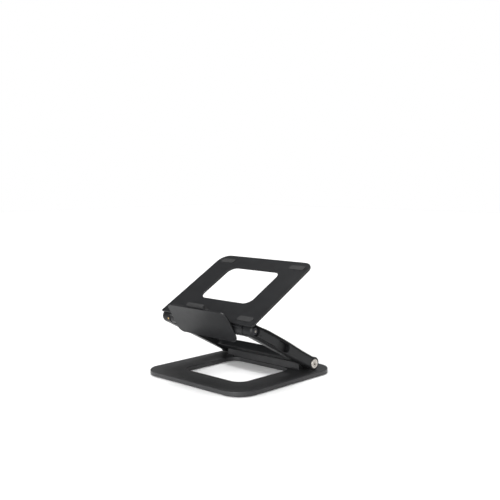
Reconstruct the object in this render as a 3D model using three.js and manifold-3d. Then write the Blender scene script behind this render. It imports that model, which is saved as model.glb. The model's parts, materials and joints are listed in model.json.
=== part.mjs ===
// A folding laptop stand: a flat ring-shaped base, a one-piece arm casting that lifts on a
// rear hinge, and a tray that tilts on the arms' front ends. Millimetres, +Z up, front is -Y,
// the origin is on the table under the middle of the base.

import * as THREE from "three";
import { mergeVertices } from "three/addons/utils/BufferGeometryUtils.js";
import Module from "manifold-3d";

const wasm = await Module();
wasm.setup();

// ---- Driving dimensions -------------------------------------------------------------------

const GAP = 0.3; // between pieces that rest on each other
const EDGE = 0.6; // a small broken edge
const OVERRUN = 1; // how far a cutting tool runs out past a face
const DEG = Math.PI / 180;

// Base ring
const BASE_WIDTH = 249;
const BASE_DEPTH = 254;
const BASE_CORNER = 37;
const BASE_BOTTOM = 1.2;
const BASE_TOP = 9.2;
const BASE_BEVEL = 1.2;
const WINDOW_HALF_WIDTH = 73.5;
const WINDOW_FRONT = -74;
const WINDOW_REAR = 61;
const WINDOW_CORNER = 21;

// Feet, half sunk into the underside of the ring
const FOOT_LENGTH = 44;
const FOOT_WIDTH = 14;
const FOOT_CORNER = 6;
const FOOT_SEAT = 0.8;
const FOOT_EDGE = 0.4;
const FOOT_X = 82;
const FOOT_FRONT_Y = -103;
const FOOT_REAR_Y = 98;

// Hinge axes, both along X
const LOWER_HINGE = { y: 76.6, z: 22.5 };
const UPPER_HINGE = { y: -76.5, z: 103.4 };
const TRAY_TILT = 28.94 * DEG;

// Arms and the barrels between them
const ARM_INNER = 92;
const ARM_OUTER = 115;
const ARM_RADIUS = 11.4;
const ARM_ROUNDING = 7;
const KNUCKLE_RADIUS = 12;
const KNUCKLE_ROUNDING = 1.2;
const SWELL_HEIGHT = 13.4; // the arm's top line above its axis, between the two swell places
const SWELL_FROM = 40; // places along the arm, measured from the upper hinge
const SWELL_TO = 70;
const SWELL_END = 150;
const BARREL_RADIUS = 11;
const BARREL_HALF = 90.2;
const BARREL_EDGE = 0.8; // rounding at the ends of the barrel and of the hinge block
const UPPER_KNUCKLE_OUTER = 107.4;
const WEB_FRONT_MIDDLE = 44;
const WEB_FRONT_SIDE = 39;
const WEB_REAR = 16.6; // just clear of the hinge block, all the way round its swing
const WEB_BELOW = 9;
const WEB_ABOVE = 7;
const WEB_FILLET = 9;
const WEB_ROUNDING = 1.6;
const WEB_SUNK = 2; // how far the web's ends reach into the arms

// Hinge block on the base's rear rail: its front face is flush with the edge of the window
const BLOCK_HALF = 15.3;
const BLOCK_TOP = 11;
const BLOCK_CORNER = 9;
const TOE_LENGTH = 3.2; // the toes stand on the rail beyond the window's sides
const TOE_HEIGHT = 3.6;
const TOE_LIFT = 0.2;
const TOE_INNER = 74;
const TOE_OUTER = 89;
const TOE_ROOT = 2; // how far the toe reaches into the block
const TOE_COVE = 1.8; // how far its slope dips in front of the block

// Hinge hardware
const SHAFT_RADIUS = 4;
const BUSH_INNER = 4.1;
const BUSH_OUTER = 5.5;
const BUSH_SEAT = 5.8;
const FLANGE_RADIUS = 9.4;
const LOWER_POCKET_RADIUS = 9.3;
const LOWER_POCKET_FLOOR = 103;
const LOWER_HEAD_FROM = 107.3;
const LOWER_HEAD_TO = 110.5;
const LOWER_HEAD_RADIUS = 7.4;
const LOWER_HEAD_SOCKET = { depth: 2.2, radius: 2.9 };
const WASHER_THICKNESS = 0.9;
const WASHER_BORE = 4.4;
const WASHER_RADIUS = 8.2;
const WASHER_CONE = 0.8;
const CAP_RADIUS = 8.9;
const CAP_INNER = 111.2;
const CAP_OUTER = 115.3;
const CAP_CHAMFER = 0.8;
const CAP_SOCKET = { depth: 2.4, radius: 2.6 };
const PIN_INNER_END = 68;
const PIN_BORE_END = 64;
const PIN_HEAD_RADIUS = 6.4;
const PIN_HEAD_TO = 111.4;
const LOCK_END = 103.4; // the locking screw in the pin's head
const LOCK_SEAT = 109.8;
const LOCK_TOP = 112.2;
const LOCK_SHANK = 1.5;
const LOCK_HEAD = 2.1;
const LOCK_EDGE = 0.4;
const LOCK_RECESS = 2.5;
const LOCK_SOCKET = { depth: 1.4, radius: 1.2 };
const TENSION_SCREW_X = -95.5;
const TENSION_SCREW_ANGLE = 14 * DEG;
const TENSION_SCREW_START = 4.5;
const TENSION_SCREW_END = 11.3;
const TENSION_SCREW_RADIUS = 1.7;
const TENSION_SCREW_EDGE = 0.3;
const TENSION_HOLE_START = 3;
const TENSION_HOLE_RADIUS = 2.1;
const TENSION_SOCKET = { depth: 1.5, radius: 0.9 };

// Long channel in each arm's outer face, and the cover strip that lies in it
const CHANNEL_RADIUS = 8;
const CHANNEL_FLOOR = 107;
const CHANNEL_LENGTH = 85.8;
const COVER_HALF = 7;
const COVER_NOSE = 8.3; // radius of its hollow front end, about the upper hinge
const COVER_TO = 62;
const COVER_OUTER = 114.5;
const COVER_CORNER = 1;
const RIVET_ALONG = 13.5;
const RIVET_ACROSS = -2.4;
const RIVET_FLOOR = 111;
const RIVET_RADIUS = 1.5;
const RIVET_HOLE = 1.9;
const RIVET_TOP = 115.1;
const RIVET_DOME = 0.5;

// Tray, in the tray's own tilted frame: y runs rearward along it and z stands off it
const TRAY_HALF_WIDTH = 115;
const TRAY_FRONT = -4.7;
const TRAY_REAR = 182;
const TRAY_BOTTOM = 11.8;
const TRAY_TOP = 14.8;
const TRAY_CORNER = 22;
const TRAY_FRONT_CORNER = 3;
const TRAY_WINDOW = { halfWidth: 62, front: 48, rear: 146, corner: 16 };
const PAD_TOP = 15.7;
const PAD_SEAT = 0.7;
const PAD_LENGTH = 34;
const PAD_WIDTH = 12;
const PAD_CORNER = 5;
const PAD_EDGE = 0.3;
const PAD_X = 87;
const PAD_FRONT_Y = 10;
const PAD_REAR_Y = 164;
const FLANGE_FRONT = -8;
const FLANGE_ROOT = 17;
const FLANGE_REAR = 31;
const FLANGE_BOTTOM = 8;

// Front stop panel and the lip pad behind it
const PANEL_HALF_WIDTH = 74;
const PANEL_BOTTOM = -20;
const PANEL_TOP = 42.5;
const PANEL_THICKNESS = 2.9;
const PANEL_BACK = -11.3;
const PANEL_LEAN = 2.2; // how far the top edge bows forward
const PANEL_STRAIGHT = 8; // the panel is flat up to here, where it meets the tray block
const PANEL_CORNER = 13;
const LIP_HALF_WIDTH = 21;
const LIP_SHOULDER = 6;
const LIP_TOP = 48.5;
const LIP_BACK = -7.9;
const LIP_BOTTOM = 15.2;

// Screws: four hold the hinge block, four the tray plate and three the front panel
const BLOCK_SCREWS = [-62, -22, 22, 62];
const TRAY_SCREWS = [-68, -26, 26, 68];
const PANEL_SCREWS = [-44, 0, 44];
const SCREW_SHANK = 2;
const SCREW_HEAD = 3.6;
const SCREW_HOLE = 2.3;
const HEAD_HOLE = 4;
const SCREW_SOCKET = 1.9;
const SOCKET_DEPTH = 1.6;
const BLOCK_HEAD_BOTTOM = 1.6;
const BLOCK_HEAD_TOP = 4.4;
const BLOCK_HOLE_TOP = 16;
const TRAY_SCREW_Y = 22;
const TRAY_HOLE_TOP = 13.6;
const TRAY_HEAD_HEIGHT = 2.3;
const TRAY_HEAD_CHAMFER = { height: 1.2, inset: 0.8 };
const PANEL_SCREW_SEAT = -6;
const PANEL_HEAD_HEIGHT = 3.3;
const PANEL_HOLE_START = 9;
const PANEL_HOLE_END = 13.2;

const ARM_RUN = UPPER_HINGE.y - LOWER_HINGE.y;
const ARM_RISE = UPPER_HINGE.z - LOWER_HINGE.z;
const ARM_LENGTH = Math.hypot(ARM_RUN, ARM_RISE);
const ARM_SLOPE = Math.atan2(ARM_RISE, -ARM_RUN);

// ---- Solids -------------------------------------------------------------------------------

// A closed three.js geometry as a manifold solid.
function solid(geometry) {
  const bare = geometry.clone();
  bare.deleteAttribute("normal");
  bare.deleteAttribute("uv");
  const merged = mergeVertices(bare, 1e-4);
  return new wasm.Manifold(
    new wasm.Mesh({
      numProp: 3,
      vertProperties: new Float32Array(merged.attributes.position.array),
      triVerts: new Uint32Array(merged.index.array),
    }),
  );
}

function join(first, ...others) {
  return others.reduce((sum, other) => sum.add(other), first);
}

function cut(body, ...tools) {
  return tools.reduce((rest, tool) => rest.subtract(tool), body);
}

// A manifold solid as a three.js geometry.
function geometryOf(body) {
  const mesh = body.getMesh();
  const geometry = new THREE.BufferGeometry();
  geometry.setAttribute("position", new THREE.BufferAttribute(mesh.vertProperties, 3));
  geometry.setIndex(new THREE.BufferAttribute(mesh.triVerts, 1));
  geometry.computeVertexNormals();
  return geometry;
}

// An outline drawn in (y, z), pushed along X from x0 to x1, with rounded ends if asked.
function across(outline, x0, x1, rounding = 0, curveSegments = 9, roundSegments = 3) {
  const geometry = extruded(outline, x1 - x0, rounding, curveSegments, roundSegments);
  geometry.translate(0, 0, x0);
  const basis = new THREE.Matrix4().makeBasis(
    new THREE.Vector3(0, 1, 0),
    new THREE.Vector3(0, 0, 1),
    new THREE.Vector3(1, 0, 0),
  );
  return solid(geometry.applyMatrix4(basis));
}

// An outline drawn in (x, y), raised from z0 to z1, with rounded edges if asked.
function raised(outline, z0, z1, rounding = 0, curveSegments = 3, roundSegments = 2) {
  const geometry = extruded(outline, z1 - z0, rounding, curveSegments, roundSegments);
  return solid(geometry.translate(0, 0, z0));
}

// An outline drawn in (x, z), pushed along Y from y0 to y1.
function forward(outline, y0, y1, rounding = 0, curveSegments = 3, roundSegments = 2) {
  const geometry = extruded(outline, y1 - y0, rounding, curveSegments, roundSegments);
  return solid(geometry.rotateX(Math.PI / 2).translate(0, y1, 0));
}

function extruded(outline, depth, rounding, curveSegments, roundSegments) {
  const geometry = new THREE.ExtrudeGeometry(outline, {
    depth: depth - 2 * rounding,
    bevelEnabled: rounding > 0,
    bevelThickness: rounding,
    bevelSize: rounding,
    bevelOffset: -rounding,
    bevelSegments: roundSegments,
    curveSegments,
  });
  return geometry.translate(0, 0, rounding);
}

// A body of revolution about an axis along X; profile points are [x, radius].
function turned(profile, segments = 24) {
  const points = profile.map(([x, radius]) => new THREE.Vector2(radius, x));
  return solid(new THREE.LatheGeometry(points, segments).rotateZ(-Math.PI / 2));
}

// A profile of cylinders one after another: each step is [where it starts, its radius].
function steps(list, end) {
  const points = [[list[0][0], 0]];
  list.forEach(([start, radius], i) => {
    const stop = i + 1 < list.length ? list[i + 1][0] : end;
    points.push([start, radius], [stop, radius]);
  });
  points.push([end, 0]);
  return points;
}

function rod(xa, xb, radius, segments = 24) {
  return turned(steps([[Math.min(xa, xb), radius]], Math.max(xa, xb)), segments);
}

// The tool for a hexagonal key socket in a face at x.
function hexSocket(x, socket) {
  return rod(x - socket.depth, x + OVERRUN, socket.radius, 6);
}

function roundedRectangle(x0, y0, x1, y1, r) {
  const shape = new THREE.Shape();
  shape.moveTo(x0 + r, y0);
  shape.lineTo(x1 - r, y0);
  shape.absarc(x1 - r, y0 + r, r, -Math.PI / 2, 0, false);
  shape.lineTo(x1, y1 - r);
  shape.absarc(x1 - r, y1 - r, r, 0, Math.PI / 2, false);
  shape.lineTo(x0 + r, y1);
  shape.absarc(x0 + r, y1 - r, r, Math.PI / 2, Math.PI, false);
  shape.lineTo(x0, y0 + r);
  shape.absarc(x0 + r, y0 + r, r, Math.PI, 1.5 * Math.PI, false);
  return shape;
}

// Two half circles joined by straight sides, from y = far (negative) to y = near.
function stadium(far, near, r) {
  const shape = new THREE.Shape();
  shape.moveTo(far, -r);
  shape.lineTo(near, -r);
  shape.absarc(near, 0, r, -Math.PI / 2, Math.PI / 2, false);
  shape.lineTo(far, r);
  shape.absarc(far, 0, r, Math.PI / 2, 1.5 * Math.PI, false);
  return shape;
}

function circleAt(y, z, r) {
  return new THREE.Shape().absarc(y, z, r, 0, 2 * Math.PI, false);
}

function polygon(points) {
  return new THREE.Shape(points.map(([u, v]) => new THREE.Vector2(u, v)));
}

// A turned body made along X, swung to point along another direction and set at a place.
function aimed(profile, direction, place, segments = 12) {
  const points = profile.map(([x, radius]) => new THREE.Vector2(radius, x));
  const geometry = new THREE.LatheGeometry(points, segments);
  const turn = new THREE.Quaternion().setFromUnitVectors(
    new THREE.Vector3(0, 1, 0),
    new THREE.Vector3(...direction).normalize(),
  );
  return solid(geometry.applyQuaternion(turn).translate(...place));
}

// A turned body standing upright at (x, y), its profile measured from z = 0.
function upright(profile, x, y, segments = 12) {
  return aimed(profile, [0, 0, 1], [x, y, 0], segments);
}

// A turned body pointing forward at x, its profile measured from y = 0.
function frontward(profile, x, segments = 12) {
  return aimed(profile, [0, -1, 0], [x, 0, 0], segments);
}

// ---- Materials and meshes -----------------------------------------------------------------

const FINISHES = {
  coatedMetal: { color: 0x2b2c2e, roughness: 0.52, metalness: 0.55 },
  darkPlastic: { color: 0x1c1d1f, roughness: 0.6, metalness: 0 },
  rubber: { color: 0x161617, roughness: 0.85, metalness: 0 },
  steel: { color: 0xc9cacb, roughness: 0.28, metalness: 1 },
  springSteel: { color: 0x8b8d8f, roughness: 0.4, metalness: 1 },
  brass: { color: 0xc9a24e, roughness: 0.35, metalness: 1 },
  polymer: { color: 0x3b3a37, roughness: 0.55, metalness: 0 },
};

function piece(name, finish, body) {
  const mesh = new THREE.Mesh(geometryOf(body), new THREE.MeshStandardMaterial(FINISHES[finish]));
  mesh.name = name;
  return mesh;
}

// The same body on both sides: made for the right (+X), mirrored for the left.
function pair(name, finish, body) {
  return [
    piece(name + "_right", finish, body),
    piece(name + "_left", finish, body.mirror([1, 0, 0])),
  ];
}

// ---- Base ---------------------------------------------------------------------------------

const FEET = [
  { name: "foot_front_left", x: -FOOT_X, y: FOOT_FRONT_Y },
  { name: "foot_front_right", x: FOOT_X, y: FOOT_FRONT_Y },
  { name: "foot_rear_left", x: -FOOT_X, y: FOOT_REAR_Y },
  { name: "foot_rear_right", x: FOOT_X, y: FOOT_REAR_Y },
];

function footOutline(place, grow) {
  const halfLength = FOOT_LENGTH / 2 + grow;
  const halfWidth = FOOT_WIDTH / 2 + grow;
  return roundedRectangle(
    place.x - halfLength,
    place.y - halfWidth,
    place.x + halfLength,
    place.y + halfWidth,
    FOOT_CORNER + grow,
  );
}

function basePlate() {
  const outline = roundedRectangle(
    -BASE_WIDTH / 2,
    -BASE_DEPTH / 2,
    BASE_WIDTH / 2,
    BASE_DEPTH / 2,
    BASE_CORNER,
  );
  outline.holes.push(
    roundedRectangle(
      -WINDOW_HALF_WIDTH,
      WINDOW_FRONT,
      WINDOW_HALF_WIDTH,
      WINDOW_REAR,
      WINDOW_CORNER,
    ),
  );
  const ring = raised(outline, BASE_BOTTOM, BASE_TOP, BASE_BEVEL, 4, 2);
  const seats = FEET.map((place) =>
    raised(footOutline(place, GAP), 0, BASE_BOTTOM + FOOT_SEAT, 0, 2),
  );
  const hole = steps([[0, HEAD_HOLE], [BLOCK_HEAD_TOP + GAP, SCREW_HOLE]], BASE_TOP + OVERRUN);
  const screwHoles = BLOCK_SCREWS.map((x) => upright(hole, x, LOWER_HINGE.y));
  return cut(ring, ...seats, ...screwHoles);
}

function foot(place) {
  return raised(footOutline(place, 0), 0, BASE_BOTTOM + FOOT_SEAT - GAP, FOOT_EDGE, 2, 1);
}

// Outline of the hinge block about the hinge axis: flat front, rear and floor, rounded on top.
function blockOutline(floor) {
  const shape = new THREE.Shape();
  const middle = BLOCK_HALF - BLOCK_CORNER;
  const shoulder = BLOCK_TOP - BLOCK_CORNER;
  shape.moveTo(-BLOCK_HALF, floor);
  shape.lineTo(BLOCK_HALF, floor);
  shape.lineTo(BLOCK_HALF, shoulder);
  shape.absarc(middle, shoulder, BLOCK_CORNER, 0, Math.PI / 2, false);
  shape.lineTo(-middle, BLOCK_TOP);
  shape.absarc(-middle, shoulder, BLOCK_CORNER, Math.PI / 2, Math.PI, false);
  return shape;
}

// The block that stands on the rear rail and carries the two lower shafts. A sloping toe at each
// end of its front face steadies it on the rail.
function hingeBlock() {
  const floor = BASE_TOP + GAP - LOWER_HINGE.z;
  const body = across(blockOutline(floor), -BARREL_HALF, BARREL_HALF, BARREL_EDGE, 8, 2);
  const tip = -BLOCK_HALF - TOE_LENGTH;
  const toe = polygon([
    [tip, floor + BARREL_EDGE],
    [tip + BARREL_EDGE, floor + TOE_LIFT],
    [TOE_ROOT - BLOCK_HALF, floor + TOE_LIFT],
    [TOE_ROOT - BLOCK_HALF, floor + TOE_HEIGHT + TOE_ROOT],
    [-BLOCK_HALF - 1, floor + TOE_HEIGHT - TOE_COVE],
  ]);
  const rightToe = across(toe, TOE_INNER, TOE_OUTER);
  const block = join(body, rightToe, rightToe.mirror([1, 0, 0]));
  const shaftBores = [1, -1].map((side) =>
    rod(side * PIN_BORE_END, side * (BARREL_HALF + OVERRUN), SHAFT_RADIUS + GAP),
  );
  const hole = steps([[floor - OVERRUN, SCREW_HOLE]], BLOCK_HOLE_TOP - LOWER_HINGE.z);
  const screwHoles = BLOCK_SCREWS.map((x) => upright(hole, x, 0));
  return cut(block, ...shaftBores, ...screwHoles);
}

function blockScrew(x) {
  const profile = steps(
    [[BLOCK_HEAD_BOTTOM, SCREW_HEAD], [BLOCK_HEAD_TOP, SCREW_SHANK]],
    BLOCK_HOLE_TOP - 1,
  );
  const socket = steps([[0, SCREW_SOCKET]], BLOCK_HEAD_BOTTOM + SOCKET_DEPTH);
  return cut(upright(profile, x, LOWER_HINGE.y), upright(socket, x, LOWER_HINGE.y, 6));
}

// Lower shaft: fixed in the block, it runs through the arm's bush to a head in the arm's pocket.
function lowerShaft() {
  const shaft = turned([
    [PIN_INNER_END, 0],
    [PIN_INNER_END, SHAFT_RADIUS],
    [LOWER_HEAD_FROM, SHAFT_RADIUS],
    [LOWER_HEAD_FROM, LOWER_HEAD_RADIUS],
    [LOWER_HEAD_TO - EDGE, LOWER_HEAD_RADIUS],
    [LOWER_HEAD_TO, LOWER_HEAD_RADIUS - EDGE],
    [LOWER_HEAD_TO, 0],
  ]);
  return cut(shaft, hexSocket(LOWER_HEAD_TO, LOWER_HEAD_SOCKET));
}

// A coned washer: its inner edge starts at near, and its rim stands off by rise. Two of them
// stacked rim to rim press the arm, by its bush, against the block.
function conedWasher(near, rise) {
  return turned([
    [near, WASHER_BORE],
    [near + rise, WASHER_RADIUS],
    [near + WASHER_THICKNESS + rise, WASHER_RADIUS],
    [near + WASHER_THICKNESS, WASHER_BORE],
    [near, WASHER_BORE],
  ]);
}

// ---- Arm casting, drawn in its own frame --------------------------------------------------
// The frame's origin is the lower hinge, y = -ARM_LENGTH is the upper hinge, z stands off the arm.

// Side outline: two round ends, a straight underside and a top line that swells near the tray.
function armOutline() {
  const far = -ARM_LENGTH;
  const swellMiddle = far + SWELL_FROM / 2;
  const fallMiddle = far + (SWELL_TO + SWELL_END) / 2;
  const shape = new THREE.Shape();
  shape.moveTo(far, -ARM_RADIUS);
  shape.lineTo(0, -ARM_RADIUS);
  shape.absarc(0, 0, ARM_RADIUS, -Math.PI / 2, Math.PI / 2, false);
  shape.lineTo(far + SWELL_END, ARM_RADIUS);
  shape.bezierCurveTo(
    fallMiddle,
    ARM_RADIUS,
    fallMiddle,
    SWELL_HEIGHT,
    far + SWELL_TO,
    SWELL_HEIGHT,
  );
  shape.lineTo(far + SWELL_FROM, SWELL_HEIGHT);
  shape.bezierCurveTo(swellMiddle, SWELL_HEIGHT, swellMiddle, ARM_RADIUS, far, ARM_RADIUS);
  shape.absarc(far, 0, ARM_RADIUS, Math.PI / 2, 1.5 * Math.PI, false);
  return shape;
}

// A rounded bar, with a nearly square-edged knuckle at the lower end and, on the inner half of
// the upper end, another.
function armBar() {
  const bar = across(armOutline(), ARM_INNER, ARM_OUTER, ARM_ROUNDING, 8, 4);
  const lower = circleAt(0, 0, KNUCKLE_RADIUS);
  const upper = circleAt(-ARM_LENGTH, 0, ARM_RADIUS);
  return join(
    bar,
    across(lower, ARM_INNER, ARM_OUTER, KNUCKLE_ROUNDING, 18, 1),
    across(upper, ARM_INNER, UPPER_KNUCKLE_OUTER, EDGE, 18, 1),
  );
}

function armCuts() {
  const inside = ARM_INNER - OVERRUN;
  const bore = rod(inside, ARM_OUTER, BUSH_SEAT);
  const pocket = rod(LOWER_POCKET_FLOOR, ARM_OUTER + OVERRUN, LOWER_POCKET_RADIUS, 32);
  const pinBore = rod(inside, ARM_OUTER, SHAFT_RADIUS + GAP).translate([0, -ARM_LENGTH, 0]);
  const channel = across(
    stadium(-ARM_LENGTH, -ARM_LENGTH + CHANNEL_LENGTH, CHANNEL_RADIUS),
    CHANNEL_FLOOR,
    ARM_OUTER + OVERRUN,
    0,
    8,
  );
  return [bore, pocket, pinBore, channel];
}

// The web between the arms: a thick plate with a bowed front edge and a fillet into each arm.
function web() {
  const wall = ARM_INNER + WEB_SUNK;
  const buried = wall + 2 * WEB_SUNK;
  const filletX = wall - WEB_FILLET;
  const filletY = -WEB_FRONT_SIDE - WEB_FILLET;
  const bow = WEB_FRONT_SIDE - 2 * WEB_FRONT_MIDDLE;
  const shape = new THREE.Shape();
  shape.moveTo(-buried, -WEB_REAR);
  shape.lineTo(-buried, filletY - 2 * WEB_SUNK);
  shape.lineTo(-wall, filletY - WEB_SUNK);
  shape.absarc(-filletX, filletY, WEB_FILLET, Math.PI, Math.PI / 2, true);
  shape.quadraticCurveTo(0, bow, filletX, -WEB_FRONT_SIDE);
  shape.absarc(filletX, filletY, WEB_FILLET, Math.PI / 2, 0, true);
  shape.lineTo(wall, filletY - WEB_SUNK);
  shape.lineTo(buried, filletY - 2 * WEB_SUNK);
  shape.lineTo(buried, -WEB_REAR);
  return raised(shape, -WEB_BELOW, WEB_ABOVE, WEB_ROUNDING, 4, 2);
}

// The tension screw points forward out of the left upper knuckle, a little below level.
function tensionScrewAt(profile, segments) {
  const angle = ARM_SLOPE + TENSION_SCREW_ANGLE;
  const direction = [0, -Math.cos(angle), -Math.sin(angle)];
  return aimed(profile, direction, [TENSION_SCREW_X, -ARM_LENGTH, 0], segments);
}

function armFrame() {
  const right = cut(armBar(), ...armCuts());
  const left = right.mirror([1, 0, 0]);
  const past = ARM_RADIUS + 4 * OVERRUN;
  const tensionHole = tensionScrewAt(steps([[TENSION_HOLE_START, TENSION_HOLE_RADIUS]], past), 16);
  return cut(join(right, left, web()), tensionHole);
}

function tensionScrew() {
  const profile = [
    [TENSION_SCREW_START, TENSION_SCREW_RADIUS],
    [TENSION_SCREW_END - TENSION_SCREW_EDGE, TENSION_SCREW_RADIUS - TENSION_SCREW_EDGE],
  ];
  const body = tensionScrewAt(steps(profile, TENSION_SCREW_END), 12);
  const socketFloor = TENSION_SCREW_END - TENSION_SOCKET.depth;
  const socket = steps([[socketFloor, TENSION_SOCKET.radius]], TENSION_SCREW_END + OVERRUN);
  return cut(body, tensionScrewAt(socket, 6));
}

// A flanged bush: its flange lies between a barrel's end and the arm, and its sleeve runs from
// the flange to sleeveEnd, out into the arm or in into the barrel.
function flangedBush(sleeveEnd) {
  const flangeFrom = BARREL_HALF + GAP;
  const flangeTo = ARM_INNER - GAP;
  const flange = rod(flangeFrom, flangeTo, FLANGE_RADIUS);
  const sleeve = rod((flangeFrom + flangeTo) / 2, sleeveEnd, BUSH_OUTER);
  return cut(join(flange, sleeve), rod(PIN_BORE_END, ARM_OUTER, BUSH_INNER));
}

// The bright cap that closes the lower pocket, with a hexagonal key socket.
function lowerCap() {
  const cap = turned(
    [
      [CAP_INNER, 0],
      [CAP_INNER, CAP_RADIUS],
      [CAP_OUTER - CAP_CHAMFER, CAP_RADIUS],
      [CAP_OUTER, CAP_RADIUS - CAP_CHAMFER],
      [CAP_OUTER, 0],
    ],
    40,
  );
  return cut(cap, hexSocket(CAP_OUTER, CAP_SOCKET));
}

// The cover strip: its front end curves round the upper pin's head, its rear end is square.
function sideCover() {
  const far = -ARM_LENGTH;
  const strip = across(
    roundedRectangle(far, -COVER_HALF, far + COVER_TO, COVER_HALF, COVER_CORNER),
    CHANNEL_FLOOR + GAP,
    COVER_OUTER,
    EDGE,
    3,
    2,
  );
  const headRoom = rod(ARM_INNER, ARM_OUTER, COVER_NOSE, 32).translate([0, far, 0]);
  const rivetHole = rod(RIVET_FLOOR, ARM_OUTER, RIVET_HOLE, 16);
  return cut(strip, headRoom, rivetHole.translate([0, far + RIVET_ALONG, RIVET_ACROSS]));
}

function coverRivet() {
  const rivet = turned(
    [
      [RIVET_FLOOR + GAP, 0],
      [RIVET_FLOOR + GAP, RIVET_RADIUS],
      [RIVET_TOP - RIVET_DOME, RIVET_RADIUS],
      [RIVET_TOP, RIVET_RADIUS - RIVET_DOME],
      [RIVET_TOP, 0],
    ],
    12,
  );
  return rivet.translate([0, -ARM_LENGTH + RIVET_ALONG, RIVET_ACROSS]);
}

// Upper pin: a headed steel pin through the arm's knuckle into the tray's barrel. A small screw
// locks it, sunk in a recess in its head.
function upperPin() {
  const pin = turned([
    [PIN_INNER_END, 0],
    [PIN_INNER_END, SHAFT_RADIUS],
    [CHANNEL_FLOOR + GAP, SHAFT_RADIUS],
    [CHANNEL_FLOOR + GAP, PIN_HEAD_RADIUS],
    [PIN_HEAD_TO - EDGE, PIN_HEAD_RADIUS],
    [PIN_HEAD_TO, PIN_HEAD_RADIUS - EDGE],
    [PIN_HEAD_TO, 0],
  ]);
  const lockHole = rod(LOCK_END - OVERRUN, PIN_HEAD_TO + OVERRUN, LOCK_SHANK + GAP, 16);
  const lockRecess = rod(LOCK_SEAT, PIN_HEAD_TO + OVERRUN, LOCK_RECESS, 24);
  return cut(pin, lockHole, lockRecess);
}

function upperPinScrew() {
  const screw = turned(
    [
      [LOCK_END, 0],
      [LOCK_END, LOCK_SHANK],
      [LOCK_SEAT + GAP, LOCK_SHANK],
      [LOCK_SEAT + GAP, LOCK_HEAD],
      [LOCK_TOP - LOCK_EDGE, LOCK_HEAD],
      [LOCK_TOP, LOCK_HEAD - LOCK_EDGE],
      [LOCK_TOP, 0],
    ],
    24,
  );
  return cut(screw, hexSocket(LOCK_TOP, LOCK_SOCKET));
}

// ---- Tray, drawn in its own frame ---------------------------------------------------------

const PADS = [
  { name: "tray_pad_front_left", x: -PAD_X, y: PAD_FRONT_Y },
  { name: "tray_pad_front_right", x: PAD_X, y: PAD_FRONT_Y },
  { name: "tray_pad_rear_left", x: -PAD_X, y: PAD_REAR_Y },
  { name: "tray_pad_rear_right", x: PAD_X, y: PAD_REAR_Y },
];

function padOutline(place, grow) {
  const halfLength = PAD_LENGTH / 2 + grow;
  const halfWidth = PAD_WIDTH / 2 + grow;
  return roundedRectangle(
    place.x - halfLength,
    place.y - halfWidth,
    place.x + halfLength,
    place.y + halfWidth,
    PAD_CORNER + grow,
  );
}

// The plate: rear corners well rounded, front corners nearly square, and one window.
function trayPlate() {
  const outline = roundedRectangle(
    -TRAY_HALF_WIDTH,
    TRAY_FRONT,
    TRAY_HALF_WIDTH,
    TRAY_REAR,
    TRAY_CORNER,
  );
  const squareFront = roundedRectangle(
    -TRAY_HALF_WIDTH,
    TRAY_FRONT,
    TRAY_HALF_WIDTH,
    TRAY_FRONT + 3 * TRAY_CORNER,
    TRAY_FRONT_CORNER,
  );
  const opening = roundedRectangle(
    -TRAY_WINDOW.halfWidth,
    TRAY_WINDOW.front,
    TRAY_WINDOW.halfWidth,
    TRAY_WINDOW.rear,
    TRAY_WINDOW.corner,
  );
  const plate = join(
    raised(outline, TRAY_BOTTOM, TRAY_TOP, EDGE, 4, 1),
    raised(squareFront, TRAY_BOTTOM, TRAY_TOP, EDGE, 2, 1),
  );
  const window = raised(opening, TRAY_BOTTOM - OVERRUN, TRAY_TOP + OVERRUN, 0, 4);
  const seats = PADS.map((place) =>
    raised(padOutline(place, GAP), TRAY_TOP - PAD_SEAT, TRAY_TOP + OVERRUN, 0, 2),
  );
  const hole = steps([[TRAY_BOTTOM - OVERRUN, SCREW_HOLE]], TRAY_HOLE_TOP);
  const screwHoles = TRAY_SCREWS.map((x) => upright(hole, x, TRAY_SCREW_Y));
  return cut(plate, window, ...seats, ...screwHoles);
}

function trayPad(place) {
  return raised(padOutline(place, 0), TRAY_TOP - PAD_SEAT + GAP, PAD_TOP, PAD_EDGE, 2, 1);
}

// The tray's hinge block: a barrel between the arms, running up into a flange under the plate.
function trayBlock() {
  const top = TRAY_BOTTOM - GAP;
  const flange = polygon([
    [FLANGE_FRONT, 2],
    [4, -2],
    [FLANGE_ROOT - 5, FLANGE_BOTTOM - 3],
    [FLANGE_ROOT, FLANGE_BOTTOM],
    [FLANGE_REAR, FLANGE_BOTTOM],
    [FLANGE_REAR, top],
    [FLANGE_FRONT, top],
  ]);
  const block = join(
    across(circleAt(0, 0, BARREL_RADIUS), -BARREL_HALF, BARREL_HALF, BARREL_EDGE, 20, 1),
    across(flange, 1 - BARREL_HALF, BARREL_HALF - 1),
  );
  const seats = [1, -1].map((side) =>
    rod(side * PIN_BORE_END, side * (BARREL_HALF + OVERRUN), BUSH_SEAT),
  );
  const plateHole = steps([[0, SCREW_HOLE]], top + OVERRUN);
  const panelReach = BARREL_RADIUS + OVERRUN;
  const panelHole = steps(
    [[-panelReach, HEAD_HOLE], [PANEL_SCREW_SEAT, SCREW_HOLE]],
    panelReach,
  );
  return cut(
    block,
    ...seats,
    ...TRAY_SCREWS.map((x) => upright(plateHole, x, TRAY_SCREW_Y)),
    ...PANEL_SCREWS.map((x) => frontward(panelHole, x)),
  );
}

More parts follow.
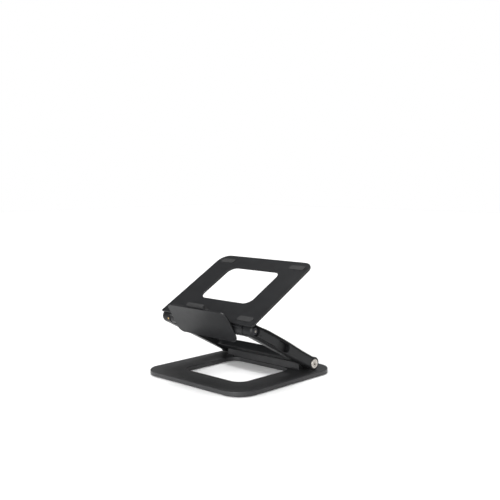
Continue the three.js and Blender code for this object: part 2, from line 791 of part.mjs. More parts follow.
function trayScrew(x) {
  const headTop = FLANGE_BOTTOM - GAP;
  const headBottom = headTop - TRAY_HEAD_HEIGHT;
  const profile = [
    [headBottom, 0],
    [headBottom, SCREW_HEAD - TRAY_HEAD_CHAMFER.inset],
    [headBottom + TRAY_HEAD_CHAMFER.height, SCREW_HEAD],
    [headTop, SCREW_HEAD],
    [headTop, SCREW_SHANK],
    [TRAY_HOLE_TOP - GAP, SCREW_SHANK],
    [TRAY_HOLE_TOP - GAP, 0],
  ];
  const socket = steps([[0, SCREW_SOCKET]], headBottom + SOCKET_DEPTH);
  return cut(upright(profile, x, TRAY_SCREW_Y), upright(socket, x, TRAY_SCREW_Y, 6));
}

// A slab whose back starts at the given y, flat at first and bowed forward towards the top.
function bowedSlab(back, thickness, bottom, top, halfWidth) {
  const bow = (z) => {
    const rise = Math.max(0, z - PANEL_STRAIGHT) / (PANEL_TOP - PANEL_STRAIGHT);
    return PANEL_LEAN * rise * rise;
  };
  const count = 5;
  const heights = [bottom];
  for (let i = 0; i <= count; i += 1) {
    heights.push(PANEL_STRAIGHT + ((top - PANEL_STRAIGHT) * i) / count);
  }
  const backLine = heights.map((z) => [back - bow(z), z]);
  const frontLine = heights.map((z) => [back - thickness - bow(z), z]).reverse();
  return across(polygon([...backLine, ...frontLine]), -halfWidth, halfWidth);
}

function frontPanel() {
  const outline = roundedRectangle(
    -PANEL_HALF_WIDTH,
    PANEL_BOTTOM,
    PANEL_HALF_WIDTH,
    PANEL_TOP,
    PANEL_CORNER,
  );
  const slab = bowedSlab(
    PANEL_BACK,
    PANEL_THICKNESS,
    PANEL_BOTTOM - OVERRUN,
    PANEL_TOP + OVERRUN,
    PANEL_HALF_WIDTH + OVERRUN,
  );
  const panel = forward(outline, PANEL_BACK - 10, PANEL_BACK + 2, 0, 4).intersect(slab);
  const hole = steps([[PANEL_HOLE_START, SCREW_HOLE]], PANEL_HOLE_END);
  return cut(panel, ...PANEL_SCREWS.map((x) => frontward(hole, x)));
}

function panelScrew(x) {
  const headEnd = PANEL_SCREW_SEAT - GAP;
  const headStart = headEnd - PANEL_HEAD_HEIGHT;
  const profile = steps([[headStart, SCREW_HEAD], [headEnd, SCREW_SHANK]], PANEL_HOLE_END - GAP);
  const socket = steps([[headStart - OVERRUN, SCREW_SOCKET]], headStart + SOCKET_DEPTH);
  return cut(frontward(profile, x), frontward(socket, x, 6));
}

// The soft lip that the notebook's front edge leans on; its tongue stands above the panel.
function lipPad() {
  const shoulder = LIP_HALF_WIDTH + LIP_SHOULDER;
  const outline = new THREE.Shape();
  outline.moveTo(-shoulder, LIP_BOTTOM);
  outline.lineTo(shoulder, LIP_BOTTOM);
  outline.lineTo(shoulder, PANEL_TOP - 4);
  outline.quadraticCurveTo(LIP_HALF_WIDTH + 1, PANEL_TOP - 3, LIP_HALF_WIDTH, LIP_TOP - 3);
  outline.quadraticCurveTo(LIP_HALF_WIDTH - 0.5, LIP_TOP, LIP_HALF_WIDTH - 4, LIP_TOP);
  outline.lineTo(-LIP_HALF_WIDTH + 4, LIP_TOP);
  outline.quadraticCurveTo(-LIP_HALF_WIDTH + 0.5, LIP_TOP, -LIP_HALF_WIDTH, LIP_TOP - 3);
  outline.quadraticCurveTo(-LIP_HALF_WIDTH - 1, PANEL_TOP - 3, -shoulder, PANEL_TOP - 4);
  const depth = 6; // the slab's front face stands GAP behind the panel
  const slab = bowedSlab(PANEL_BACK + GAP + depth, depth, PANEL_BOTTOM, LIP_TOP + 1, shoulder + 1);
  return forward(outline, PANEL_BACK - 10, LIP_BACK, 0, 4).intersect(slab);
}

// ---- Assembly -----------------------------------------------------------------------------

const stand = new THREE.Group();

const base = new THREE.Group();
base.add(piece("base_plate", "coatedMetal", basePlate()));
FEET.forEach((place) => base.add(piece(place.name, "rubber", foot(place))));
BLOCK_SCREWS.forEach((x, i) =>
  base.add(piece("hinge_block_screw_" + (i + 1), "springSteel", blockScrew(x))),
);

const lowerAxis = new THREE.Group();
lowerAxis.position.set(0, LOWER_HINGE.y, LOWER_HINGE.z);
lowerAxis.add(
  piece("hinge_block", "coatedMetal", hingeBlock()),
  ...pair("lower_shaft", "steel", lowerShaft()),
  ...pair(
    "lower_spring_washer_inner",
    "springSteel",
    conedWasher(LOWER_POCKET_FLOOR + GAP, WASHER_CONE),
  ),
  ...pair(
    "lower_spring_washer_outer",
    "springSteel",
    conedWasher(LOWER_HEAD_FROM - GAP - WASHER_THICKNESS, -WASHER_CONE),
  ),
);

const arm = new THREE.Group();
arm.position.set(0, LOWER_HINGE.y, LOWER_HINGE.z);
arm.rotation.x = -ARM_SLOPE;
arm.add(
  piece("arm_frame", "coatedMetal", armFrame()),
  ...pair("lower_bush", "polymer", flangedBush(LOWER_POCKET_FLOOR - GAP)),
  ...pair("lower_cap", "steel", lowerCap()),
  ...pair("side_cover", "coatedMetal", sideCover()),
  ...pair("cover_rivet", "coatedMetal", coverRivet()),
  piece("tension_screw", "brass", tensionScrew()),
);
const upperHardware = new THREE.Group();
upperHardware.position.set(0, -ARM_LENGTH, 0);
upperHardware.add(
  ...pair("upper_pin", "darkPlastic", upperPin()),
  ...pair("upper_pin_screw", "steel", upperPinScrew()),
);
arm.add(upperHardware);

const tray = new THREE.Group();
tray.position.set(0, UPPER_HINGE.y, UPPER_HINGE.z);
tray.rotation.x = TRAY_TILT;
tray.add(
  piece("tray_plate", "coatedMetal", trayPlate()),
  piece("tray_block", "coatedMetal", trayBlock()),
  ...pair("upper_bush", "polymer", flangedBush(PIN_INNER_END - 2 * OVERRUN)),
  piece("front_panel", "coatedMetal", frontPanel()),
  piece("lip_pad", "rubber", lipPad()),
);
PADS.forEach((place) => tray.add(piece(place.name, "rubber", trayPad(place))));
TRAY_SCREWS.forEach((x, i) =>
  tray.add(piece("tray_screw_" + (i + 1), "springSteel", trayScrew(x))),
);
PANEL_SCREWS.forEach((x, i) =>
  tray.add(piece("panel_screw_" + (i + 1), "springSteel", panelScrew(x))),
);

stand.add(base, lowerAxis, arm, tray);

export default stand;
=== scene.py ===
"""The looks of a folding laptop stand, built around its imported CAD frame.

Metres, +Z up, the front is -Y. Each piece is drawn in millimetres in the frame of its own body.
"""

import json
import math

import bmesh
import bpy
from mathutils import Matrix, Vector
from mathutils.geometry import tessellate_polygon


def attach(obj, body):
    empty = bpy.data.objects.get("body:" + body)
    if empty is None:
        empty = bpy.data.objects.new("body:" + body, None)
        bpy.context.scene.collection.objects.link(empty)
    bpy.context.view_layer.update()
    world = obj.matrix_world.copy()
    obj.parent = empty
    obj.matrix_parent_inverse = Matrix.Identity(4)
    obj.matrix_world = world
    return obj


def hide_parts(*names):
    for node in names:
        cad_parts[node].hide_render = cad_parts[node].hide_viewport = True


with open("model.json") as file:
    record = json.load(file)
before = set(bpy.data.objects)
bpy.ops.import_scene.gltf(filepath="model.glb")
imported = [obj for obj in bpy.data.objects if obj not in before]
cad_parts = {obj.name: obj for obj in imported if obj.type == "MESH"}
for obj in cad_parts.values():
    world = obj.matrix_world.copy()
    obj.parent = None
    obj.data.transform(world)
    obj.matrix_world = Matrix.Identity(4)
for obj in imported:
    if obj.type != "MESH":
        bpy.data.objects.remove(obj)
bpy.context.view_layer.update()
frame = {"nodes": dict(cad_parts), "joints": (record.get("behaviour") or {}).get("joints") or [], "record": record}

RECORD = frame["record"]
BODY_OF = {node: body for body, nodes in RECORD["behaviour"]["bodies"].items() for node in nodes}
SLOT_OF = {part["node"]: part["material_slot"] for part in RECORD["subparts"]}
JOINT_AT = {joint["name"]: Vector(joint["pos_m"]) for joint in frame["joints"]}
MOUNT_AXIS = {mount["name"]: Vector(mount["axis"]) for mount in RECORD["mounts"]}

MM = 0.001
SIDES = {"right": 1, "left": -1}

# ---- Dimensions in millimetres that a node's box doesn't give -------------------------------

CLEARANCE = 0.3
EDGE = 0.6
OVERRUN = 1  # how far a cutting tool runs past the face that it opens
SLIVER = 0.02  # keeps two round surfaces from coinciding where they are joined
SKIM = 0.05  # how far a countersink's cone goes on past its face
BASE_CORNER = 37
BASE_BEVEL = 1.2
BASE_WINDOW = {"half_width": 73.5, "front": -74, "rear": 61, "corner": 21}
FOOT_CORNER = 6
FOOT_EDGE = 0.4
FOOT_SEAT = 0.8

BARREL_RADIUS = 11
FLANGE_SPACE = (90.5, 91.7)
FLANGE_EDGE = 0.2
SHAFT_RADIUS = 4
BUSH_INNER = 4.1
BUSH_OUTER = 5.5
BUSH_SEAT = 5.8
SHAFT_BORE_END = 64
BLOCK_HALF = 15.3
BLOCK_CORNER = 9
BLOCK_EDGE = 0.8
BLOCK_FOOT_CORNER = 0.5
TOE_HEIGHT = 3.6
TOE_LIFT = 0.2
TOE_INNER = 74
TOE_OUTER = 89
TOE_ROOT = 2

SCREW_HEAD = 3.6
SCREW_SHANK = 2
SCREW_EDGE = 0.4
SCREW_HOLE = 2.3
SCREW_SOCKET = {"depth": 1.6, "radius": 1.9}
HEAD_HOLE = 4
BLOCK_SCREWS = (-62, -22, 22, 62)
BLOCK_HEAD_TOP = 4.4
TRAY_SCREWS = (-68, -26, 26, 68)
TRAY_SCREW_Y = 22
PANEL_SCREWS = (-44, 0, 44)
PANEL_SCREW_SEAT = -6

ARM_INNER = 92
ARM_ROUNDING = 7
KNUCKLE_ROUNDING = 1.2
UPPER_KNUCKLE_OUTER = 107.4
SWELL = {"start": 40, "full": 70, "end": 150}
WEB = {"front_middle": 44, "front_side": 39, "rear": 16.6, "below": 9, "above": 7}
WEB_CORNER = 3
WEB_WALL = ARM_INNER + 2
WEB_BURIED = WEB_WALL + 4
WEB_FILLET = {"front": 9, "above": 2, "below": 0.6}
# The web's sections lie this far from the arm's wall, closest where the fillets turn fastest.
WEB_STATIONS = (0, 0.08, 0.3, 0.8, 1.6, 2.8, 4.4, 6.4)
WEB_MIDDLE_STEPS = 20
LOWER_POCKET = {"radius": 9.3, "floor": 103}
CHANNEL = {"radius": 8, "floor": 107, "length": 85.8}
CAP_RIM = 0.9
CAP_CHAMFER = 0.3
CAP_GROOVE = {"outer": 5.2, "inner": 4.2, "slope": 0.3, "depth": 0.25}
CAP_SOCKET = {"depth": 2.4, "radius": 2.6, "countersink": 0.4}
MOUTH_FLARE = 0.5
COVER_NOSE = 8.3
COVER_CORNER = 1
RIVET = {"along": 13.5, "across": -2.4, "hole": 1.9, "depth": 4, "rim": 0.5}
PIN_RIM = 0.7
LOCK = {"end": 102.4, "seat": 109.8, "shank": 1.5, "recess": 2.5, "chamfer": 0.3, "rim": 0.5}
LOCK_SOCKET = {"depth": 1.4, "radius": 1.2, "countersink": 0.2}
TENSION_SCREW = {"x": -95.5, "angle": 14, "start": 4.5, "radius": 1.7, "end": 11.3, "rim": 0.3}
TENSION_HOLE = {"start": 3, "radius": 2.1, "end": 15.3}
TENSION_SOCKET = {"depth": 1.5, "radius": 0.9, "countersink": 0.15}

TRAY_FRONT_CORNER = 3
TRAY_REAR_CORNER = 22
TRAY_WINDOW = {"half_width": 62, "front": 48, "rear": 146, "corner": 16}
TRAY_BLOCK_EDGE = 0.5
TRAY_FLANGE = {"root": 17, "bottom": 8, "front": -8, "barrel_angle": -18, "cove": (1.6, 5)}
PAD_CORNER = 5
PAD_EDGE = 0.35
PANEL_CORNER = 13
PANEL_EDGE = 0.9
PANEL_LEAN = 2.2
PANEL_STRAIGHT = 8
BEND_STEPS = 14
# The foot ends below the panel's top edge, and the neck is the cove from it to the tongue.
LIP = {"half_width": 21, "shoulder": 6, "foot_drop": 4, "neck": (1, 3)}
LIP_CORNER = {"width": 4, "height": 3, "lean": 0.5}
LIP_EDGE = 0.7

ROWS = ("front", "rear")
FEET = [f"foot_{row}_{side}" for row in ROWS for side in SIDES]
TRAY_PADS = [f"tray_pad_{row}_{side}" for row in ROWS for side in SIDES]
CREASE = math.radians(32)


# ---- Frames ---------------------------------------------------------------------------------

def placed(origin, up):
    """A frame at origin with z along up and x along the stand's own x."""
    x = Vector((1, 0, 0))
    turn = Matrix((x, up.cross(x), up)).transposed()
    return Matrix.Translation(origin) @ turn.to_4x4()


LOWER_HINGE = JOINT_AT["arm_lift"]
UPPER_HINGE = JOINT_AT["tray_tilt"]
ARM_REACH = UPPER_HINGE - LOWER_HINGE
ARM_LENGTH = ARM_REACH.length / MM
ARM_UP = Vector((0, ARM_REACH.z, -ARM_REACH.y)).normalized()

# BASE is the stand's own frame. The others start at a hinge, with z straight up in BLOCK, square
# to the arm in ARM and ARM_END, and square to the tray's plate in TRAY.
BASE = Matrix.Identity(4)
BLOCK = placed(LOWER_HINGE, Vector((0, 0, 1)))
ARM = placed(LOWER_HINGE, ARM_UP)
ARM_END = placed(UPPER_HINGE, ARM_UP)
TRAY = placed(UPPER_HINGE, MOUNT_AXIS["tray_rest"])


def span(node, place):
    """The lowest and highest corner of a CAD node in the frame at place, in millimetres."""
    inverse = place.inverted()
    points = [inverse @ vertex.co / MM for vertex in frame["nodes"][node].data.vertices]
    low = Vector([min(point[i] for point in points) for i in range(3)])
    high = Vector([max(point[i] for point in points) for i in range(3)])
    return low, high


# ---- Outlines: lists of (u, v) points, counter-clockwise ---------------------------------------

def arc(centre, radius, start, end, steps=16):
    """Points of an arc between two angles in degrees, ends included."""
    turns = [math.radians(start + (end - start) * i / steps) for i in range(steps + 1)]
    return [(centre[0] + radius * math.cos(t), centre[1] + radius * math.sin(t)) for t in turns]


def curve(points, steps=12):
    """A Bezier curve through the first and last control points, the first point left out."""
    made = []
    for i in range(1, steps + 1):
        t = i / steps
        level = [Vector(point) for point in points]
        while len(level) > 1:
            level = [a.lerp(b, t) for a, b in zip(level, level[1:])]
        made.append(tuple(level[0]))
    return made


def circle(radius, steps=64):
    """A circle about the origin, its first point not repeated."""
    return arc((0, 0), radius, 0, 360 * (steps - 1) / steps, steps - 1)


def rounded_rectangle(low, high, *corners, steps=12):
    """Corners are one radius for all, or four: front left, front right, rear right, rear left."""
    radii = corners * 4 if len(corners) == 1 else corners
    left, front = low
    right, rear = high
    centres = [
        (left + radii[0], front + radii[0]),
        (right - radii[1], front + radii[1]),
        (right - radii[2], rear - radii[2]),
        (left + radii[3], rear - radii[3]),
    ]
    starts = (180, 270, 0, 90)
    points = []
    for centre, radius, start in zip(centres, radii, starts):
        points += arc(centre, radius, start, start + 90, steps)
    return points


def stadium(length, radius):
    """Two half circles, one about the origin and one at u = length."""
    return arc((length, 0), radius, -90, 90, 24) + arc((0, 0), radius, 90, 270, 24)


def inset(points, amount):
    """The outline moved inwards, each point along the mitre of its two sides."""
    inner = []
    for i, point in enumerate(points):
        here = Vector(point)
        before = (here - Vector(points[i - 1])).normalized()
        after = (Vector(points[(i + 1) % len(points)]) - here).normalized()
        mitre = Vector((-before.y - after.y, before.x + after.x))
        inner.append(here + mitre * (2 * amount / mitre.length_squared))
    return inner


def rounded(low, high, radius, steps=5):
    """Levels of a slab with both edges rounded: (height, inset) from the bottom up."""
    turns = [math.pi / 2 * i / steps for i in range(steps + 1)]
    edge = [(radius * (1 - math.cos(t)), radius * (1 - math.sin(t))) for t in turns]
    below = [(low + rise, shrink) for rise, shrink in edge]
    above = [(high - rise, shrink) for rise, shrink in reversed(edge)]
    return below + above


# ---- Solids: bmeshes in millimetres -----------------------------------------------------------

ALONG_X = Matrix(((0, 0, 1, 0), (1, 0, 0, 0), (0, 1, 0, 0), (0, 0, 0, 1)))
TO_FRONT = Matrix(((1, 0, 0, 0), (0, 0, -1, 0), (0, 1, 0, 0), (0, 0, 0, 1)))
MIRROR_X = Matrix.Diagonal((-1, 1, 1, 1))
UPWARD = (0, 0, 1)
FORWARD = (0, -1, 0)


def closed(mesh):
    """The mesh with every face turned outwards."""
    bmesh.ops.recalc_face_normals(mesh, faces=mesh.faces)
    return mesh


def skin(mesh, rings, wrap=False):
    """Quads or triangles between neighbouring rings; a ring of one vertex is a pole."""
    pairs = list(zip(rings, rings[1:]))
    if wrap:
        pairs.append((rings[-1], rings[0]))
    for lower, upper in pairs:
        count = max(len(lower), len(upper))
        for i in range(count):
            corners = [
                lower[(i - 1) % len(lower)],
                lower[i % len(lower)],
                upper[i % len(upper)],
                upper[(i - 1) % len(upper)],
            ]
            mesh.faces.new(list(dict.fromkeys(corners)))


def fill(mesh, borders):
    """A flat face with holes between closed rings of vertices."""
    vertices = [vertex for border in borders for vertex in border]
    for corners in tessellate_polygon([[vertex.co for vertex in border] for border in borders]):
        mesh.faces.new([vertices[i] for i in corners])


def stack(outline, levels, holes=()):
    """A solid that follows an outline, with (height, inset) levels from the bottom up."""
    mesh = bmesh.new()
    walls = []
    for path, inward in [(outline, 1)] + [(hole, -1) for hole in holes]:
        rings = [
            [mesh.verts.new((u, v, height)) for u, v in inset(path, inward * shrink)]
            for height, shrink in levels
        ]
        skin(mesh, rings)
        walls.append(rings)
    fill(mesh, [rings[0] for rings in walls])
    fill(mesh, [rings[-1] for rings in walls])
    return closed(mesh)


def turned(profile, steps=64, ring=False):
    """A solid turned about X from (x, radius) points; a ring's profile closes on itself."""
    mesh = bmesh.new()
    rings = []
    for x, radius in profile:
        if radius < 1e-6:
            rings.append([mesh.verts.new((x, 0, 0))])
        else:
            ring_points = circle(radius, steps)
            rings.append([mesh.verts.new((x, y, z)) for y, z in ring_points])
    skin(mesh, rings, wrap=ring)
    return closed(mesh)


def rod(start, end, radius, steps=48):
    """A cylinder along X."""
    return turned([(start, 0), (start, radius), (end, radius), (end, 0)], steps)


def moved(mesh, matrix):
    bmesh.ops.transform(mesh, matrix=matrix, verts=mesh.verts)
    return closed(mesh)


def at(mesh, x=0, y=0, z=0):
    """The mesh shifted, in millimetres."""
    return moved(mesh, Matrix.Translation((x, y, z)))


def swing(direction):
    """The turn that takes X to another direction."""
    return Vector((1, 0, 0)).rotation_difference(Vector(direction)).to_matrix().to_4x4()


def aimed(mesh, direction, spot):
    """A solid made along X, swung to another direction and set at a spot."""
    return moved(mesh, Matrix.Translation(spot) @ swing(direction))


def facing(place, direction, spot):
    """A frame at a spot of the frame at place, with its own x along a direction there."""
    return place @ Matrix.Translation(Vector(spot) * MM) @ swing(direction)


def mirrored(mesh):
    """A copy of the mesh on the stand's other side."""
    return moved(mesh.copy(), MIRROR_X)


def linked(name, mesh):
    """An object that holds the bmesh, which is used up."""
    data = bpy.data.meshes.new(name)
    mesh.to_mesh(data)
    mesh.free()
    made = bpy.data.objects.new(name, data)
    bpy.context.scene.collection.objects.link(made)
    return made


def combined(mesh, others, operation):
    """The mesh after a Boolean with each of the others, which are used up."""
    body = linked("solid", mesh)
    tools = [linked("tool", other) for other in others]
    for tool in tools:
        step = body.modifiers.new("step", "BOOLEAN")
        step.operation = operation
        step.solver = "EXACT"
        step.object = tool
    result = bmesh.new()
    result.from_object(body, bpy.context.evaluated_depsgraph_get())
    for used in [body, *tools]:
        data = used.data
        bpy.data.objects.remove(used)
        bpy.data.meshes.remove(data)
    return result


def joined(mesh, *others):
    return combined(mesh, others, "UNION")


def cut(mesh, *tools):
    return combined(mesh, tools, "DIFFERENCE")


# ---- Materials --------------------------------------------------------------------------------

def shader(**settings):
    """A new material, its node tree and its Principled shader, with values on its own sockets."""
    made = bpy.data.materials.new("finish")
    made.use_nodes = True
    surface = made.node_tree.nodes["Principled BSDF"]
    for socket, value in settings.items():
        surface.inputs[socket.replace("_", " ")].default_value = value
    return made, made.node_tree, surface


def node(tree, kind, **settings):
    """A new shader node, with values for its own properties."""
    made = tree.nodes.new(kind)
    for name, value in settings.items():
        setattr(made, name, value)
    return made


def noise(tree, size, detail=2.0, stretch=(1, 1, 1)):
    """Noise over the piece's own coordinates, with features about size metres across."""
    where = node(tree, "ShaderNodeTexCoord")
    scaled = node(tree, "ShaderNodeMapping")
    scaled.inputs["Scale"].default_value = stretch
    field = node(tree, "ShaderNodeTexNoise")
    field.inputs["Scale"].default_value = 1 / size
    field.inputs["Detail"].default_value = detail
    tree.links.new(where.outputs["Object"], scaled.inputs["Vector"])
    tree.links.new(scaled.outputs["Vector"], field.inputs["Vector"])
    return field.outputs["Fac"]


def between(tree, value, low, high, near=0.3, far=0.7):
    """The value's range from near to far, spread from low to high."""
    made = node(tree, "ShaderNodeMapRange")
    made.inputs["From Min"].default_value = near
    made.inputs["From Max"].default_value = far
    made.inputs["To Min"].default_value = low
    made.inputs["To Max"].default_value = high
    tree.links.new(value, made.inputs["Value"])
    return made.outputs["Result"]


def blended(tree, factor, first, second):
    """A colour between two, by factor. Each is a colour or another node's output."""
    made = node(tree, "ShaderNodeMix", data_type="RGBA")
    tree.links.new(factor, made.inputs["Factor"])
    # A Mix node has three sets of sockets called A, B and Result. These are its colour ones.
    for socket, colour in ((made.inputs[6], first), (made.inputs[7], second)):
        if isinstance(colour, bpy.types.NodeSocket):
            tree.links.new(colour, socket)
        else:
            socket.default_value = (*colour, 1)
    return made.outputs[2]


def toned(colour, gain, lift=0.0):
    """The colour times gain, plus lift, in every channel."""
    return [min(1, channel * gain + lift) for channel in colour]


def mottled(tree, colour, size, darkest, lightest):
    """Patches of the colour about size metres across, from darkest to lightest times itself."""
    patches = between(tree, noise(tree, size, detail=3.0), 0, 1)
    return blended(tree, patches, toned(colour, darkest), toned(colour, lightest))


def summed(tree, first, second):
    made = node(tree, "ShaderNodeMath", operation="ADD")
    tree.links.new(first, made.inputs[0])
    tree.links.new(second, made.inputs[1])
    return made.outputs["Value"]


def bump(tree, surface, *layers):
    """Stacks (height value, depth in metres) layers of relief on the surface."""
    below = None
    for height, depth in layers:
        relief = node(tree, "ShaderNodeBump")
        relief.inputs["Strength"].default_value = 1.0
        relief.inputs["Distance"].default_value = depth
        tree.links.new(height, relief.inputs["Height"])
        if below is not None:
            tree.links.new(below, relief.inputs["Normal"])
        below = relief.outputs["Normal"]
    tree.links.new(below, surface.inputs["Normal"])


def edge_wear_and_highlight(tree, reach, amount):
    """0 on open faces, up to amount along edges, broken up by noise: partly wear, partly a painted highlight on
    the edges.
    """
    softened = node(tree, "ShaderNodeBevel", samples=4)
    softened.inputs["Radius"].default_value = reach
    plain = node(tree, "ShaderNodeNewGeometry")
    alike = node(tree, "ShaderNodeVectorMath", operation="DOT_PRODUCT")
    tree.links.new(softened.outputs["Normal"], alike.inputs[0])
    tree.links.new(plain.outputs["Normal"], alike.inputs[1])
    # The dot product is 1 on open faces and falls where the bevelled normal leans away.
    sharp = between(tree, alike.outputs["Value"], amount, 0.0, near=0.86, far=0.995)
    wear_and_highlight = node(tree, "ShaderNodeMath", operation="MULTIPLY")
    tree.links.new(sharp, wear_and_highlight.inputs[0])
    tree.links.new(between(tree, noise(tree, size=0.004), 0.35, 1.0), wear_and_highlight.inputs[1])
    return wear_and_highlight.outputs["Value"]


def coating(colour, roughness, ior, grain, depth, wear_and_highlight_amount=0.35):
    """Black coated metal: fine grain, a slow orange-peel swell, and edges painted lighter, partly as wear and
    partly as a painted highlight.
    """
    made, tree, surface = shader(Metallic=0.0, IOR=ior)
    body = mottled(tree, colour, size=0.025, darkest=0.9, lightest=1.12)
    # Lighter colour along the edges: partly wear, partly a painted highlight on the bevels.
    worn_and_highlit_colour = toned(colour, gain=2.4, lift=0.02)
    wear_and_highlight_mask = edge_wear_and_highlight(tree, reach=0.0007, amount=wear_and_highlight_amount)
    tree.links.new(blended(tree, wear_and_highlight_mask, body, worn_and_highlit_colour), surface.inputs["Base Color"])
    slow_field = noise(tree, size=0.012, detail=3.0)
    slow = between(tree, slow_field, roughness - 0.035, roughness + 0.035)
    fine = between(tree, noise(tree, size=grain * 2), -0.03, 0.03)
    tree.links.new(summed(tree, slow, fine), surface.inputs["Roughness"])
    peel = noise(tree, size=0.0022, detail=1.0)
    bump(tree, surface, (noise(tree, size=grain), depth), (peel, depth * 0.6))
    return made


def rubber(colour):
    """Moulded rubber: matte, with a fine spark-eroded texture and a little dust."""
    made, tree, surface = shader(IOR=1.45)
    dust = between(tree, noise(tree, size=0.006, detail=4.0), 0, 0.5, near=0.5, far=0.75)
    dusty = toned(colour, gain=1.9, lift=0.006)
    tree.links.new(blended(tree, dust, colour, dusty), surface.inputs["Base Color"])
    rough = between(tree, noise(tree, size=0.003, detail=3.0), 0.7, 0.86)
    tree.links.new(rough, surface.inputs["Roughness"])
    texture = noise(tree, size=0.00035, detail=3.0)
    waves = noise(tree, size=0.003)
    bump(tree, surface, (texture, 0.00004), (waves, 0.00003))
    return made


def radial(tree):
    """Distance from the piece's own x axis, in metres."""
    where = node(tree, "ShaderNodeTexCoord")
    flat = node(tree, "ShaderNodeVectorMath", operation="MULTIPLY")
    flat.inputs[1].default_value = (0, 1, 1)
    reach = node(tree, "ShaderNodeVectorMath", operation="LENGTH")
    tree.links.new(where.outputs["Object"], flat.inputs[0])
    tree.links.new(flat.outputs["Vector"], reach.inputs[0])
    return reach.outputs["Value"]


def turned_metal(colour, roughness, pitch=0.00022, depth=0.000002):
    """Metal off a lathe: fine rings round its axis, faint stains and fine scratches."""
    made, tree, surface = shader(Metallic=1.0)
    body = mottled(tree, colour, size=0.005, darkest=0.88, lightest=1)
    tree.links.new(body, surface.inputs["Base Color"])
    turns = node(tree, "ShaderNodeMath", operation="MULTIPLY")
    turns.inputs[1].default_value = 2 * math.pi / pitch
    wave = node(tree, "ShaderNodeMath", operation="SINE")
    tree.links.new(radial(tree), turns.inputs[0])
    tree.links.new(turns.outputs["Value"], wave.inputs[0])
    streaks = noise(tree, size=0.0006, stretch=(1, 1, 6))
    rough = between(tree, streaks, roughness - 0.06, roughness + 0.08)
    tree.links.new(rough, surface.inputs["Roughness"])
    bump(tree, surface, (wave.outputs["Value"], depth), (streaks, depth * 2))
    return made


def moulded_plastic(colour, roughness):
    """Moulded plastic: a little uneven in tone and gloss, with a very fine texture."""
    made, tree, surface = shader(IOR=1.5)
    body = mottled(tree, colour, size=0.008, darkest=1, lightest=1.2)
    tree.links.new(body, surface.inputs["Base Color"])
    rough = between(tree, noise(tree, size=0.002), roughness - 0.05, roughness + 0.05)
    tree.links.new(rough, surface.inputs["Roughness"])
    bump(tree, surface, (noise(tree, size=0.0005), 0.00002))
    return made


# The base's edges are painted lighter still: a painted highlight along its bevels as well as wear.
BASE_GRAIN = {"grain": 0.00045, "depth": 0.00005, "wear_and_highlight_amount": 0.8}
CAST_GRAIN = {"grain": 0.0003, "depth": 0.00002}
COVER_GRAIN = {"grain": 0.00025, "depth": 0.000015}

MATERIALS = {
    "base_coating": coating((0.024, 0.0243, 0.0253), roughness=0.42, ior=1.45, **BASE_GRAIN),
    "arm_coating": coating((0.0095, 0.0098, 0.0105), roughness=0.36, ior=1.28, **CAST_GRAIN),
    "cover_coating": coating((0.014, 0.0144, 0.0154), roughness=0.4, ior=1.28, **COVER_GRAIN),
    "tray_coating": coating((0.0095, 0.0098, 0.0106), roughness=0.36, ior=1.34, **CAST_GRAIN),
    "rubber": rubber((0.012, 0.012, 0.0125)),
    "bright_steel": turned_metal((0.51, 0.48, 0.44), roughness=0.3),
    "dark_steel": turned_metal((0.2, 0.2, 0.205), roughness=0.36),
    "pin_black": turned_metal((0.045, 0.045, 0.05), roughness=0.34),
    "bush_polymer": moulded_plastic((0.035, 0.034, 0.032), roughness=0.5),
    "brass": turned_metal((0.72, 0.5, 0.22), roughness=0.3),
}
for slot, finish in MATERIALS.items():
    finish.name = slot


# ---- Pieces -----------------------------------------------------------------------------------

def dress(name, mesh, place=BASE):
    """Shows the mesh, drawn in millimetres at place, for the CAD node of that name."""
    made = linked(name + "_skin", moved(mesh, Matrix.Scale(MM, 4)))
    made.data.shade_smooth()
    made.data.set_sharp_from_angle(angle=CREASE)
    made.matrix_world = place
    made.data.materials.append(MATERIALS[SLOT_OF[name]])
    even = made.modifiers.new("even_normals", "WEIGHTED_NORMAL")
    even.keep_sharp = True
    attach(made, BODY_OF[name])
    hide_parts(name)
    return made


def dress_pair(name, mesh, place):
    """The same piece on the right and, mirrored, on the left."""
    left = mirrored(mesh)
    dress(name + "_right", mesh, place)
    dress(name + "_left", left, place)


def hex_socket(face, depth, radius, countersink):
    """A tool for a hexagonal key socket that opens towards +X at x = face."""
    outside = face + OVERRUN
    key = rod(face - depth, outside, radius, steps=6)
    mouth = turned([
        (face - countersink, 0),
        (face - countersink, radius - countersink / 2),
        (face + SKIM, radius + countersink),
        (outside, radius + countersink),
        (outside, 0),
    ])
    return joined(key, mouth)


def rim(x, radius, size, steps=4):
    """The rounded edge of a turned face that looks towards +X: points from side to face."""
    return [
        (x - size + size * math.sin(t), radius - size + size * math.cos(t))
        for t in (math.pi / 2 * i / steps for i in range(steps + 1))
    ]


def slab(low, high, corner, levels, grow=0, steps=10):
    """A block with round corners in plan, as wide as low to high and grow more all round."""
    outline = rounded_rectangle(
        (low.x - grow, low.y - grow), (high.x + grow, high.y + grow), corner + grow, steps=steps
    )
    return stack(outline, levels)


def screw_hole(start, seat, end):
    """A tool along X for a screw's hole, as wide as its head up to the seat."""
    return turned([
        (start, 0),
        (start, HEAD_HOLE),
        (seat, HEAD_HOLE),
        (seat, SCREW_HOLE),
        (end, SCREW_HOLE),
        (end, 0),
    ], steps=32)


